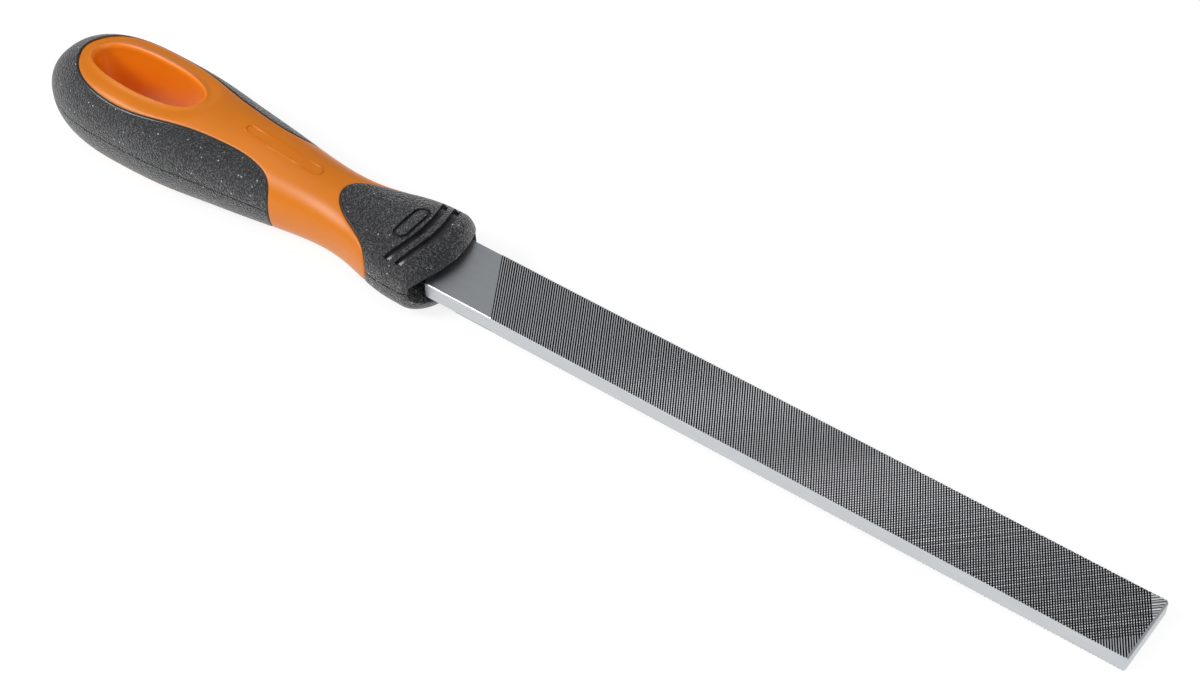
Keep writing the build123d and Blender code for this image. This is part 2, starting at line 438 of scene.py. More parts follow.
def keep_above(vertices, faces, field, level):
    """The part of a sheet where a field is above a level, cut exactly along it."""
    vertices, faces = split(vertices, faces, field, level)
    values = field(vertices) - level
    faces = [face for face in faces if sum(values[i] for i in face) > 0]
    return compact(vertices, faces)


def compact(vertices, faces):
    """Drops the vertices that no face uses."""
    used = sorted({i for face in faces for i in face})
    place = {old: new for new, old in enumerate(used)}
    return vertices[used], [[place[i] for i in face] for face in faces]


def boundary_edges(faces):
    """Directed edges that only one face has."""
    edges = {}
    for face in faces:
        for place, index in enumerate(face):
            edges[(index, face[(place + 1) % len(face)])] = True
    return [(a, b) for a, b in edges if (b, a) not in edges]


def boundary_loops(faces):
    """The open edges of a sheet as closed loops of vertices, in the faces' own direction."""
    after = dict(boundary_edges(faces))
    loops = []
    while after:
        start = next(iter(after))
        loop = [start]
        index = after.pop(start)
        while index != start:
            loop.append(index)
            index = after.pop(index)
        loops.append(loop)
    return loops


def pushed(vertices, depth):
    """Points a depth below the envelope."""
    return vertices[:, :3] - vertices[:, 3:] * np.asarray(depth).reshape(-1, 1)


def bridge(outer, inner, points, axes):
    """Triangles between two loops round the same centre, paired by angle in the plane of two axes."""
    def by_angle(loop):
        angles = [math.atan2(points[i][axes[1]], points[i][axes[0]]) for i in loop]
        return [i for _, i in sorted(zip(angles, loop))], sorted(angles)

    outer, outer_angles = by_angle(outer)
    inner, inner_angles = by_angle(inner)
    faces = []
    a = b = 0
    while a < len(outer) or b < len(inner):
        next_outer = outer_angles[a + 1] if a + 1 < len(outer) else outer_angles[0] + 2 * math.pi
        next_inner = inner_angles[b + 1] if b + 1 < len(inner) else inner_angles[0] + 2 * math.pi
        here = outer[a % len(outer)], inner[b % len(inner)]
        if b >= len(inner) or (a < len(outer) and next_outer <= next_inner):
            faces.append([here[0], outer[(a + 1) % len(outer)], here[1]])
            a += 1
        else:
            faces.append([here[0], inner[(b + 1) % len(inner)], here[1]])
            b += 1
    return faces


def add_piece(name, points, faces, materials, sharp=35.0, second=()):
    """A named piece of the file, riding on its only body; edges sharper than an angle stay crisp.

    The faces at the places listed in second take the second material."""
    mesh = bpy.data.meshes.new(name)
    mesh.from_pydata((np.asarray(points) * MM).tolist(), [], faces)
    for material in materials:
        mesh.materials.append(material)
    for place in second:
        mesh.polygons[place].material_index = 1
    if sharp is None:
        mesh.shade_flat()
    else:
        mesh.shade_smooth()
        mesh.set_sharp_from_angle(angle=math.radians(sharp))
    piece = bpy.data.objects.new(name, mesh)
    bpy.context.scene.collection.objects.link(piece)
    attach(piece, "root")
    return piece


# ---------------------------------------------------------------- fields over the handle

def behind(vertices):
    return COLLAR_FRONT_X - vertices[:, 0]


def outline_curve(outline):
    """A dense outline through its points and their mirror images, carried out past the handle's sides."""
    points = np.array(outline)
    points = np.vstack((points, (points * (1, -1))[-2::-1]))
    chords = np.hypot(*np.diff(points, axis=0).T)
    knots = np.concatenate(([0], np.cumsum(chords)))
    curve = cubic(knots, points)(np.linspace(0, knots[-1], OUTLINE_SAMPLES))
    first = (curve[0, 0], OUTLINE_MARGIN)
    last = (curve[-1, 0], -OUTLINE_MARGIN)
    return np.vstack((first, curve, last))


def distance_to(curve, places):
    """Shortest distance from each place to a line of short segments."""
    nearest = np.full(len(places), np.inf)
    for start, end in zip(curve[:-1], curve[1:]):
        run = end - start
        share = np.clip(((places - start) @ run) / (run @ run), 0, 1)
        gap = places - start - share[:, None] * run
        nearest = np.minimum(nearest, np.hypot(gap[:, 0], gap[:, 1]))
    return nearest


def plan_places(vertices):
    return np.stack((behind(vertices), vertices[:, 1]), axis=1)


LOBE_CURVE = outline_curve(LOBE_OUTLINE)
COLLAR_CURVE = outline_curve(COLLAR_OUTLINE)


def rear_field(vertices):
    """Distance inside the rear grip's area, seen from above; below zero outside it."""
    places = plan_places(vertices)
    half = LOBE_CURVE[LOBE_CURVE[:, 1] >= 0]
    lobe = np.interp(places[:, 0], half[:, 0], half[:, 1], left=OUTLINE_MARGIN, right=-1)
    inside = (np.abs(places[:, 1]) > lobe) & (places[:, 0] > LOBE_OUTLINE[0][0])
    return np.where(inside, 1, -1) * distance_to(LOBE_CURVE, places)


def collar_field(vertices):
    """Distance inside the collar's area, seen from above; below zero outside it."""
    places = plan_places(vertices)
    half = COLLAR_CURVE[COLLAR_CURVE[:, 1] >= 0][::-1]
    rear = np.interp(np.abs(places[:, 1]), half[:, 1], half[:, 0])
    return np.where(places[:, 0] < rear, 1, -1) * distance_to(COLLAR_CURVE, places)


def window_field(vertices):
    """Distance under whichever soft part is nearest; below zero where the core shows."""
    return np.maximum(rear_field(vertices), collar_field(vertices))


def oval_field(places, half_length, half_width, squareness):
    """Roughly the distance outside a superellipse round the origin."""
    along = np.abs(places[:, 0]) / half_length
    across = np.abs(places[:, 1]) / half_width
    ratio = (along**squareness + across**squareness)**(1 / squareness)
    ratio = np.maximum(ratio, 1e-6)
    slope = np.hypot(
        (along / ratio)**(squareness - 1) / half_length,
        (across / ratio)**(squareness - 1) / half_width,
    )
    return (ratio - 1) / np.maximum(slope, 1e-6)


def crest_field(vertices):
    """Distance outside the crest of the hanging hole's lip, seen from above."""
    places = plan_places(vertices) - (HOLE_DISTANCE, 0)
    return oval_field(places, CREST_HALF_LENGTH, CREST_HALF_WIDTH, HOLE_SQUARENESS)


def mouth_field(vertices):
    """Distance outside the collar's mouth, seen from the tip; far behind the nose there is no mouth."""
    outside = oval_field(vertices[:, 1:3], MOUTH_HALF_WIDTH, MOUTH_HALF_HEIGHT, MOUTH_SQUARENESS)
    return np.where(behind(vertices) > SECTIONS[0][0], OUTLINE_MARGIN, outside)


def groove_field(distance):
    """Distance outside one bowed groove, seen from above."""
    def field(vertices):
        places = plan_places(vertices)
        radial = np.hypot(places[:, 0] - distance - GROOVE_RADIUS, places[:, 1])
        beside = np.abs(radial - GROOVE_RADIUS) - GROOVE_WIDTH / 2
        beyond = np.abs(places[:, 1]) - GROOVE_HALF_SPAN
        return np.maximum(beside, beyond)
    return field


def frame_field(distance, length, breadth, corner, line):
    """Distance outside the line of a rounded frame, seen from above; length is along the handle."""
    def field(vertices):
        places = np.abs(plan_places(vertices) - (distance, 0))
        over = places - (length / 2 - corner, breadth / 2 - corner)
        outside = np.hypot(*np.maximum(over, 0).T) + np.minimum(over.max(axis=1), 0) - corner
        return np.abs(outside + line / 2) - line / 2
    return field


def wall_profile(values, wall):
    """1 inside a recess, 0 outside it, with a wall of a set width inside its edge."""
    return np.clip(-values / wall, 0, 1)


def lip(values, radius, drop):
    """How far a rounded lip has dropped at a distance inside its edge."""
    turn = np.clip(1 - values / radius, 0, 1)
    return drop * (1 - np.sqrt(1 - turn**2))


def seam(vertices):
    """The fine parting line along both sides, at mid height."""
    return SEAM_DEPTH * np.clip(1 - np.abs(vertices[:, 2]) / SEAM_WIDTH, 0, 1)


# ---------------------------------------------------------------- handle pieces

def faces_below(faces, field_values, level):
    """Places of the faces whose field is below a level."""
    return [place for place, face in enumerate(faces) if np.mean(field_values[face]) < level]


def add_rear_grip(materials):
    start = LOBE_OUTLINE[0][0] - 1
    vertices, faces = envelope_sheet(start, HANDLE_LENGTH, rear_pole=True)
    vertices, faces = keep_above(vertices, faces, rear_field, 0)
    for level in BORDER_LEVELS:
        vertices, faces = split(vertices, faces, rear_field, level)
    edge = rear_field(vertices)
    outer = pushed(vertices, lip(edge, LIP_RADIUS, LIP_DROP) + seam(vertices))
    inner = pushed(vertices, SKIN)
    count = len(vertices)
    walls = [[b, a, count + a, count + b] for a, b in boundary_edges(faces)]
    inside = [[count + i for i in reversed(face)] for face in faces]
    piece = add_piece(
        "rear_grip_skin",
        np.vstack((outer, inner)),
        faces + inside + walls,
        materials,
        second=faces_below(faces, edge, LIP_RADIUS),
    )
    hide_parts("rear_grip")


def add_collar(materials):
    end = COLLAR_OUTLINE[-1][0] + 1
    vertices, faces = envelope_sheet(NOSE_POLE, end, front_pole=True)
    vertices, faces = keep_above(vertices, faces, collar_field, 0)
    vertices, faces = keep_above(vertices, faces, mouth_field, 0)
    for level in BORDER_LEVELS:
        vertices, faces = split(vertices, faces, collar_field, level)
    grooves = [groove_field(distance) for distance in GROOVE_DISTANCES]
    badge = frame_field(BADGE_DISTANCE, BADGE_BREADTH, BADGE_LENGTH, BADGE_BREADTH / 2, BADGE_LINE)
    for field, wall in [(groove, GROOVE_WALL) for groove in grooves] + [(badge, BADGE_WALL)]:
        vertices, faces = split(vertices, faces, field, 0)
        vertices, faces = split(vertices, faces, field, -wall)
    web_back = MOUTH_DEPTH + WEB_THICKNESS
    vertices, faces = split(vertices, faces, behind, web_back)
    edge = collar_field(vertices)
    depth = lip(edge, LIP_RADIUS, LIP_DROP) + seam(vertices)
    for groove in grooves:
        depth += GROOVE_DEPTH * wall_profile(groove(vertices), GROOVE_WALL)
    depth += BADGE_DEPTH * wall_profile(badge(vertices), BADGE_WALL)
    polished = faces_below(faces, edge, LIP_RADIUS)
    for field in grooves + [badge]:
        polished += faces_below(faces, field(vertices), 0)
    outer = pushed(vertices, depth)
    rear = behind(vertices)
    inside = [face for face in faces if np.mean(rear[face]) > web_back]
    shift = len(vertices)
    points = np.vstack((outer, pushed(vertices, SKIN)))
    inside = [[shift + i for i in reversed(face)] for face in inside]
    mouth_edge = np.abs(mouth_field(vertices)) < 0.01
    walls = [
        [b, a, shift + a, shift + b]
        for a, b in boundary_edges(faces)
        if not (mouth_edge[a] and mouth_edge[b])
    ]
    rim = next(loop for loop in boundary_loops(faces) if mouth_edge[loop[0]])
    points, mouth_faces, mouth_end = mouth_wall(points, rim)
    points = np.vstack((points, tang_loop(MOUTH_DEPTH)))
    front_ids = list(range(len(points) - 4, len(points)))
    points = np.vstack((points, tang_loop(web_back)))
    back_ids = list(range(len(points) - 4, len(points)))
    web_faces = bridge(mouth_end, front_ids, points, (1, 2))
    for place in range(4):
        after = (place + 1) % 4
        web_faces.append([front_ids[place], front_ids[after], back_ids[after], back_ids[place]])
    skin_front = next(
        loop for loop in boundary_loops(inside) if abs(behind(points[loop[:1]])[0] - web_back) < SKIN
    )
    web_faces += [face[::-1] for face in bridge(skin_front, back_ids, points, (1, 2))]
    piece = add_piece(
        "front_collar_skin",
        points,
        faces + inside + walls + mouth_faces + web_faces,
        materials,
        second=polished,
    )
    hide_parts("front_collar")


def tang_loop(distance):
    """Corners of the tang's section where it passes through the collar's web."""
    share = (distance - (BODY_LENGTH + COLLAR_FRONT_X - TIP_X)) / TANG_LENGTH
    width = TANG_ROOT_HALF_WIDTH + (TANG_END_HALF_WIDTH - TANG_ROOT_HALF_WIDTH) * share
    height = HEEL_HALF_THICKNESS + (TANG_END_HALF_THICKNESS - HEEL_HALF_THICKNESS) * share
    x = COLLAR_FRONT_X - distance
    return [(x, -width, -height), (x, width, -height), (x, width, height), (x, -width, height)]


def mouth_wall(points, rim):
    """The mouth's rounded lip and drafted wall, from its rim loop inwards."""
    steps = []
    for turn in np.linspace(0, math.pi / 2, 5)[1:]:
        steps.append((MOUTH_LIP * (1 - math.cos(turn)), MOUTH_LIP * math.sin(turn)))
    rings = [rim]
    faces = []
    rim_points = points[rim]
    rim_depth = COLLAR_FRONT_X - rim_points[:, 0]
    for shrink, deeper in steps:
        points, rings = add_mouth_ring(points, rings, rim_points, rim_depth + deeper, shrink)
    draft = math.tan(math.radians(MOUTH_DRAFT))
    for share in np.linspace(0, 1, 9)[1:]:
        depth = (rim_depth + MOUTH_LIP) * (1 - share) + MOUTH_DEPTH * share
        shrink = MOUTH_LIP + draft * (depth - rim_depth - MOUTH_LIP)
        points, rings = add_mouth_ring(points, rings, rim_points, depth, shrink)
    for first, second in zip(rings[:-1], rings[1:]):
        for place in range(len(rim)):
            after = (place + 1) % len(rim)
            faces.append([first[after], first[place], second[place], second[after]])
    return points, faces, rings[-1]


def add_mouth_ring(points, rings, rim_points, depth, shrink):
    scale_y = 1 - shrink / MOUTH_HALF_WIDTH
    scale_z = 1 - shrink / MOUTH_HALF_HEIGHT
    x = COLLAR_FRONT_X - depth
    ring = np.stack((x, rim_points[:, 1] * scale_y, rim_points[:, 2] * scale_z), axis=1)
    ids = list(range(len(points), len(points) + len(ring)))
    return np.vstack((points, ring)), rings + [ids]


def add_core(materials):
    start = MOUTH_DEPTH + WEB_THICKNESS
    vertices, faces = envelope_sheet(start, HANDLE_LENGTH, rear_pole=True)
    vertices, faces = keep_above(vertices, faces, crest_field, 0)
    for level in CREST_LEVELS:
        vertices, faces = split(vertices, faces, crest_field, level)
    for level in CORE_EDGE_LEVELS:
        vertices, faces = split(vertices, faces, window_field, level)
    label = frame_field(LABEL_DISTANCE, LABEL_LENGTH, LABEL_BREADTH, LABEL_CORNER, LABEL_LINE)
    for level in (0, -LABEL_WALL):
        vertices, faces = split(vertices, faces, label, level)
    window = window_field(vertices)
    crest = crest_field(vertices)
    shown = CORE_RECESS + lip(-window - CORE_GAP, CORE_EDGE_RADIUS, CORE_EDGE_DROP)
    shown -= LABEL_RISE * wall_profile(label(vertices), LABEL_WALL)
    shown += DISH_DEPTH * (1 - smooth(crest / DISH_SPREAD))
    shown -= CREST_RAISE * (1 - smooth(crest / CREST_SPREAD))
    depth = np.where(window > -CORE_GAP / 2, SKIN, shown)
    points = pushed(vertices, depth)
    loops = boundary_loops(faces)
    rims = [loop for loop in loops if np.abs(crest[loop]).max() < ON_RIM]
    front = next(loop for loop in loops if np.abs(crest[loop]).max() > 1)
    upper = next(loop for loop in rims if points[loop[0]][2] > 0)
    lower = next(loop for loop in rims if points[loop[0]][2] < 0)
    points, wall = hole_wall(points, upper, lower)
    cap = [list(reversed(front))]
    piece = add_piece(
        "core_shell",
        points,
        faces + wall + cap,
        materials,
        # The hole's wall takes the second material, whose redder, lighter colour is a painted glow.
        second=range(len(faces), len(faces) + len(wall)),
    )
    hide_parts("handle_core")


def hole_angles(points, loop):
    """Each rim vertex's own angle on the superellipse."""
    centre = COLLAR_FRONT_X - HOLE_DISTANCE
    angles = []
    for index in loop:
        along = (points[index][0] - centre) / CREST_HALF_LENGTH
        across = points[index][1] / CREST_HALF_WIDTH
        power = HOLE_SQUARENESS / 2
        angles.append(math.atan2(
            math.copysign(abs(across)**power, across),
            math.copysign(abs(along)**power, along),
        ))
    return np.array(angles)


def hole_wall(points, upper, lower):
    """The hanging hole's filleted rim and waisted wall, from the top rim to the bottom one."""
    angles = hole_angles(points, upper)
    order = np.argsort(angles)
    upper = [upper[i] for i in order]
    angles = angles[order]
    lower_angles = hole_angles(points, lower)
    lower = [lower[i] for i in np.argsort(lower_angles)]
    rim_height = points[upper][:, 2]
    levels = []
    for turn in np.linspace(0, math.pi / 2, FILLET_RINGS + 1)[1:]:
        inwards = FILLET_IN * math.sin(turn)
        below = FILLET_DOWN * (1 - math.cos(turn))
        levels.append((CREST_HALF_LENGTH - inwards, CREST_HALF_WIDTH - inwards, rim_height - below))
    top_length, top_width, top_height = levels[-1]
    for share in np.linspace(0, 1, WALL_RINGS + 1)[1:]:
        bulge = 1 - (1 - share)**2
        levels.append((
            top_length + (WAIST_HALF_LENGTH - top_length) * bulge,
            top_width + (WAIST_HALF_WIDTH - top_width) * bulge,
            top_height * (1 - share),
        ))
    levels += [(length, width, -height) for length, width, height in levels[-2::-1]]
    centre = COLLAR_FRONT_X - HOLE_DISTANCE
    cosine = np.cos(angles)
    sine = np.sin(angles)
    power = 2 / HOLE_SQUARENESS
    rings = [upper]
    for length, width, height in levels:
        x = centre + length * np.sign(cosine) * np.abs(cosine)**power
        y = width * np.sign(sine) * np.abs(sine)**power
        ring = np.stack((x, y, height), axis=1)
        rings.append(list(range(len(points), len(points) + len(ring))))
        points = np.vstack((points, ring))
    rings.append(lower)
    faces = []
    for first, second in zip(rings[:-1], rings[1:]):
        for place in range(len(upper)):
            after = (place + 1) % len(upper)
            faces.append([first[place], first[after], second[after], second[place]])
    return points, faces


# ---------------------------------------------------------------- blade pieces

def cut_normal(lines):
    """The direction square to a set of cuts, in the plane of the flat, from the angle of its lines."""
    angle = math.radians(lines - 90)
    return np.array((math.cos(angle), math.sin(angle)))


def cut_lines(generator, start, count, pitch, profile, low, high):
    """Positions and depths of a cut's mesh lines, with flat lines carried on past both of its ends."""
    places = []
    depths = []
    for index in range(math.floor((low - start) / pitch), math.ceil((high - start) / pitch) + 1):
        shift = np.clip(generator.normal(0, SPACING_SCATTER), -MAX_SHIFT, MAX_SHIFT)
        for offset, depth in profile:
            places.append(start + (index + offset) * pitch + shift)
            depths.append(depth if 0 <= index < count else 0.0)
    return np.array(places), np.array(depths)


def tooth_sheet(generator):
    """The cut face as quads along both sets of cuts, then trimmed to the blade's edges."""
    slope = BLADE_HALF_WIDTH * cut_normal(UPCUT_LINES)[1]
    u, u_depth = cut_lines(
        generator, UPCUT_START, UPCUT_COUNT, UPCUT_PITCH, UPCUT_PROFILE, UPCUT_START, slope + UPCUT_PITCH
    )
    keep = u >= UPCUT_START
    u = u[keep]
    u_depth = u_depth[keep]
    reach = BLADE_HALF_WIDTH * abs(cut_normal(OVERCUT_LINES)[1]) + OVERCUT_PITCH
    far_corner = (UPCUT_START - slope) / cut_normal(UPCUT_LINES)[0]
    v_low = far_corner * cut_normal(OVERCUT_LINES)[0] - reach
    v, v_depth = cut_lines(
        generator, OVERCUT_START, OVERCUT_COUNT, OVERCUT_PITCH, OVERCUT_PROFILE, v_low, reach
    )
    axes = np.array((cut_normal(UPCUT_LINES), cut_normal(OVERCUT_LINES)))
    grid_u, grid_v = np.meshgrid(u, v, indexing="ij")
    plan = np.linalg.solve(axes, np.stack((grid_u.ravel(), grid_v.ravel()))).T
    fade = smooth((grid_v - OVERCUT_START) / OVERCUT_FADE)
    share = OVERCUT_FIRST_SHARE + (1 - OVERCUT_FIRST_SHARE) * fade
    depth = np.maximum(u_depth[:, None], v_depth[None, :] * share)
    depth = depth + generator.normal(0, TOOTH_SCATTER, depth.shape) * (depth > 0)
    x = plan[:, 0] + TIP_X
    y = plan[:, 1]
    z = CREST_HEIGHT - depth.ravel()
    vertices = np.stack((x, y, z), axis=1)
    near = (np.abs(y) < BLADE_HALF_WIDTH + TOOTH_MARGIN) & (x < TIP_X + TOOTH_MARGIN)
    near = near.reshape(grid_u.shape)
    columns = len(v)
    faces = []
    for i in range(len(u) - 1):
        for j in np.flatnonzero(near[i, :-1]):
            first = i * columns + int(j)
            faces.append([first, first + 1, first + columns + 1, first + columns])
    return compact(vertices, faces)


def add_teeth(materials):
    generator = np.random.default_rng(TOOTH_SEED)
    vertices, faces = tooth_sheet(generator)
    if signed_area(vertices, faces[0]) < 0:
        faces = [face[::-1] for face in faces]
    tip = TIP_X - TIP_CHAMFER
    vertices, faces = keep_above(vertices, faces, lambda p: p[:, 1], -BLADE_HALF_WIDTH)
    vertices, faces = keep_above(vertices, faces, lambda p: -p[:, 1], -BLADE_HALF_WIDTH)
    vertices, faces = keep_above(vertices, faces, lambda p: -p[:, 0], -tip)
    sheet_count = len(faces)
    vertices, faces = close_slab(vertices, faces)
    walls = range(sheet_count, len(faces))
    for name, sides in (("teeth_top", (1, 1, 1)), ("teeth_bottom", (1, -1, -1))):
        add_piece(name, vertices * sides, faces, materials, sharp=None, second=walls)


def signed_area(vertices, face):
    x = vertices[face, 0]
    y = vertices[face, 1]
    return (x * np.roll(y, -1) - y * np.roll(x, -1)).sum() / 2


def close_slab(vertices, faces):
    """Walls down from the sheet's open edges and a plain floor, so that the cut face is a closed slab."""
    loop = boundary_loops(faces)[0]
    near = [i for i in loop if abs(vertices[i][1] + BLADE_HALF_WIDTH) < 1e-3]
    far = [i for i in loop if abs(vertices[i][1] - BLADE_HALF_WIDTH) < 1e-3]
    near.sort(key=lambda i: vertices[i][0])
    far.sort(key=lambda i: vertices[i][0])
    near_x = [round(k) for k in np.linspace(0, len(near) - 1, SLAB_BAYS + 1)]
    far_x = [round(k) for k in np.linspace(0, len(far) - 1, SLAB_BAYS + 1)]
    floor = []
    for chain, places in ((near, near_x), (far, far_x)):
        for place in places:
            x, y, _ = vertices[chain[place]]
            floor.append((x, y, SLAB_FLOOR))
    base = len(vertices)
    vertices = np.vstack((vertices, floor))
    near_floor = [base + k for k in range(SLAB_BAYS + 1)]
    far_floor = [base + SLAB_BAYS + 1 + k for k in range(SLAB_BAYS + 1)]
    added = []
    for k in range(SLAB_BAYS):
        near_run = near[near_x[k]:near_x[k + 1] + 1]
        far_run = far[far_x[k]:far_x[k + 1] + 1]
        added.append([near_floor[k], near_floor[k + 1]] + near_run[::-1])
        added.append([far_floor[k + 1], far_floor[k]] + far_run)
        added.append([near_floor[k + 1], near_floor[k], far_floor[k], far_floor[k + 1]])
    start = loop.index(near[-1])
    ahead = loop[start:] + loop[:start]
    tip_run = ahead[:ahead.index(far[-1]) + 1]
    start = loop.index(far[0])
    ahead = loop[start:] + loop[:start]
    rear_run = ahead[:ahead.index(near[0]) + 1]
    added.append([near_floor[-1], far_floor[-1]] + tip_run[::-1])
    added.append([far_floor[0], near_floor[0]] + rear_run[::-1])
    return vertices, faces + added


def blade_rings():
    """Sections of the blade's body: each is its x along the near and far edge, half width, half height."""
    root_x = TIP_X - BODY_LENGTH
    slant = BLADE_HALF_WIDTH * math.tan(math.radians(UPCUT_LINES - 90))
    start = TIP_X + UPCUT_START / cut_normal(UPCUT_LINES)[0]
    near_start = start + slant
    far_start = start - slant
    tip = TIP_X - TIP_CHAMFER
    return (
        (root_x - TANG_LENGTH, root_x - TANG_LENGTH, TANG_END_HALF_WIDTH, TANG_END_HALF_THICKNESS),
        (root_x, root_x, TANG_ROOT_HALF_WIDTH, HEEL_HALF_THICKNESS),
        (root_x + SHOULDER_RUN, root_x + SHOULDER_RUN, BLADE_HALF_WIDTH, HEEL_HALF_THICKNESS),
        (near_start, far_start, BLADE_HALF_WIDTH, HEEL_HALF_THICKNESS),
        (near_start, far_start, BLADE_HALF_WIDTH, SLAB_FLOOR),
        (tip, tip, BLADE_HALF_WIDTH, SLAB_FLOOR),
    )


def bevelled_ring(near_x, far_x, half_width, half_height, bevel):
    """An eight-sided section whose x slides from its near edge to its far edge."""
    outline = [
        (-half_width, -half_height + bevel),
        (-half_width + bevel, -half_height),
        (half_width - bevel, -half_height),
        (half_width, -half_height + bevel),
        (half_width, half_height - bevel),
        (half_width - bevel, half_height),
        (-half_width + bevel, half_height),
        (-half_width, half_height - bevel),
    ]
    points = []
    for y, z in outline:
        share = (y + half_width) / (2 * half_width)
        points.append((near_x + (far_x - near_x) * share, y, z))
    return points


def add_blade_body(material):
    points = []
    rings = []
    for near_x, far_x, half_width, half_height in blade_rings():
        uncut = half_height > SLAB_FLOOR or half_width < BLADE_HALF_WIDTH
        bevel = EDGE_BEVEL if uncut else CUT_EDGE_BEVEL
        rings.append(list(range(len(points), len(points) + 8)))
        points += bevelled_ring(near_x, far_x, half_width, half_height, bevel)
    faces = [rings[0][::-1], rings[-1]]
    for first, second in zip(rings[:-1], rings[1:]):
        for place in range(8):
            after = (place + 1) % 8
            faces.append([first[place], first[after], second[after], second[place]])
    piece = add_piece("blade_body", points, faces, [material], sharp=None)
    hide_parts("file_blade")


def add_tip_cap(material):
    """The ground end of the blade: its end face, with a chamfer all round it."""
    low = TIP_X - TIP_CHAMFER
    height = CREST_HEIGHT - TIP_SET_DOWN
    outline = [
        (BLADE_HALF_WIDTH, height),
        (-BLADE_HALF_WIDTH, height),
        (-BLADE_HALF_WIDTH, -height),
        (BLADE_HALF_WIDTH, -height),
    ]
    back = [(low, y, z) for y, z in outline]
    shrink_y = (BLADE_HALF_WIDTH - TIP_CHAMFER_SIDE) / BLADE_HALF_WIDTH
    shrink_z = (height - TIP_CHAMFER) / height
    front = [(TIP_X, y * shrink_y, z * shrink_z) for y, z in outline]
    faces = [[3, 2, 1, 0], [4, 5, 6, 7]]
    for place in range(4):
        after = (place + 1) % 4
        faces.append([place, after, 4 + after, 4 + place])
    add_piece("blade_tip", back + front, faces, [material], sharp=None)


# ---------------------------------------------------------------- materials

def new_material(name):
    material = bpy.data.materials.new(name)
    material.use_nodes = True
    tree = material.node_tree
    return material, tree, tree.nodes["Principled BSDF"]


def node(tree, kind, **settings):
    made = tree.nodes.new(kind)
    for key, value in settings.items():
        if key in made.inputs:
            made.inputs[key].default_value = value
        else:
            setattr(made, key, value)
    return made


def ramp(tree, source, low, high, low_colour, high_colour):
    """A colour that goes from one to another as a value goes from low to high."""
    made = node(tree, "ShaderNodeValToRGB")
    for element, position, colour in zip(made.color_ramp.elements, (low, high), (low_colour, high_colour)):
        element.position = position
        element.color = (*colour, 1)
    tree.links.new(source, made.inputs["Fac"])
    return made.outputs["Color"]


def bump(tree, shader, source, strength, distance):
    made = node(tree, "ShaderNodeBump", Strength=strength, Distance=distance)
    tree.links.new(source, made.inputs["Height"])
    tree.links.new(made.outputs["Normal"], shader.inputs["Normal"])


def core_material(name, colours):
    """Semi-gloss orange plastic: faint clouds in its colour and the fine grain of the mould."""
    material, tree, shader = new_material(name)
    place = node(tree, "ShaderNodeTexCoord")
    cloud = node(tree, "ShaderNodeTexNoise", Scale=60.0, Detail=3.0)
    grain = node(tree, "ShaderNodeTexNoise", Scale=1800.0, Detail=2.0)
    for texture in (cloud, grain):
        tree.links.new(place.outputs["Object"], texture.inputs["Vector"])
    tint = ramp(tree, cloud.outputs["Fac"], 0.3, 0.7, *colours)
    tree.links.new(tint, shader.inputs["Base Color"])
    bump(tree, shader, grain.outputs["Fac"], 0.06, 0.0001)
    shader.inputs["Roughness"].default_value = 0.36
    shader.inputs["Specular IOR Level"].default_value = 0.4
    return material


def grip_material():
    """Soft black rubber: a coarse moulded grain, paler on its high spots, with a few bright specks that
    are painted glints.
    """
    material, tree, shader = new_material("grip_rubber")
    place = node(tree, "ShaderNodeTexCoord")
    grain = node(tree, "ShaderNodeTexNoise", Scale=1400.0, Detail=3.0, Roughness=0.6)
    cells = node(tree, "ShaderNodeTexVoronoi", Scale=1700.0)
    for texture in (grain, cells):
        tree.links.new(place.outputs["Object"], texture.inputs["Vector"])
    height = node(tree, "ShaderNodeMath", operation="SUBTRACT")
    tree.links.new(grain.outputs["Fac"], height.inputs[0])
    tree.links.new(cells.outputs["Distance"], height.inputs[1])
    bump(tree, shader, height.outputs["Value"], 1.0, 0.0004)
    tint = ramp(tree, height.outputs["Value"], 0.03, 0.34, *RUBBER_COLOURS)
    # Painted glints: a few cells get a bright grey dot in the base colour, standing in for sparkles of
    # light off the grain.
    glint_cells = node(tree, "ShaderNodeTexVoronoi", Scale=900.0)
    tree.links.new(place.outputs["Object"], glint_cells.inputs["Vector"])
    centre = ramp(tree, glint_cells.outputs["Distance"], 0.16, 0.24, (1, 1, 1), (0, 0, 0))
    chosen = ramp(tree, glint_cells.outputs["Color"], 0.77, 0.79, (0, 0, 0), (1, 1, 1))
    glint_mask = node(tree, "ShaderNodeMath", operation="MULTIPLY")
    tree.links.new(centre, glint_mask.inputs[0])
    tree.links.new(chosen, glint_mask.inputs[1])
    both = node(tree, "ShaderNodeMixRGB", Color2=GLINT_SPECK_COLOUR)
    tree.links.new(glint_mask.outputs["Value"], both.inputs["Fac"])
    tree.links.new(tint, both.inputs["Color1"])
    tree.links.new(both.outputs["Color"], shader.inputs["Base Color"])
    shader.inputs["Roughness"].default_value = 0.36
    shader.inputs["Sheen Weight"].default_value = 0.3
    shader.inputs["Sheen Roughness"].default_value = 0.4
    return material


def border_material():
    """The same rubber where the mould is polished: along the core, in the grooves and in the badge."""
    material, tree, shader = new_material("grip_rubber_border")
    place = node(tree, "ShaderNodeTexCoord")
    cloud = node(tree, "ShaderNodeTexNoise", Scale=500.0, Detail=2.0)
    tree.links.new(place.outputs["Object"], cloud.inputs["Vector"])
    tint = ramp(tree, cloud.outputs["Fac"], 0.3, 0.7, *SMOOTH_RUBBER_COLOURS)
    tree.links.new(tint, shader.inputs["Base Color"])
    shader.inputs["Roughness"].default_value = 0.3
    return material


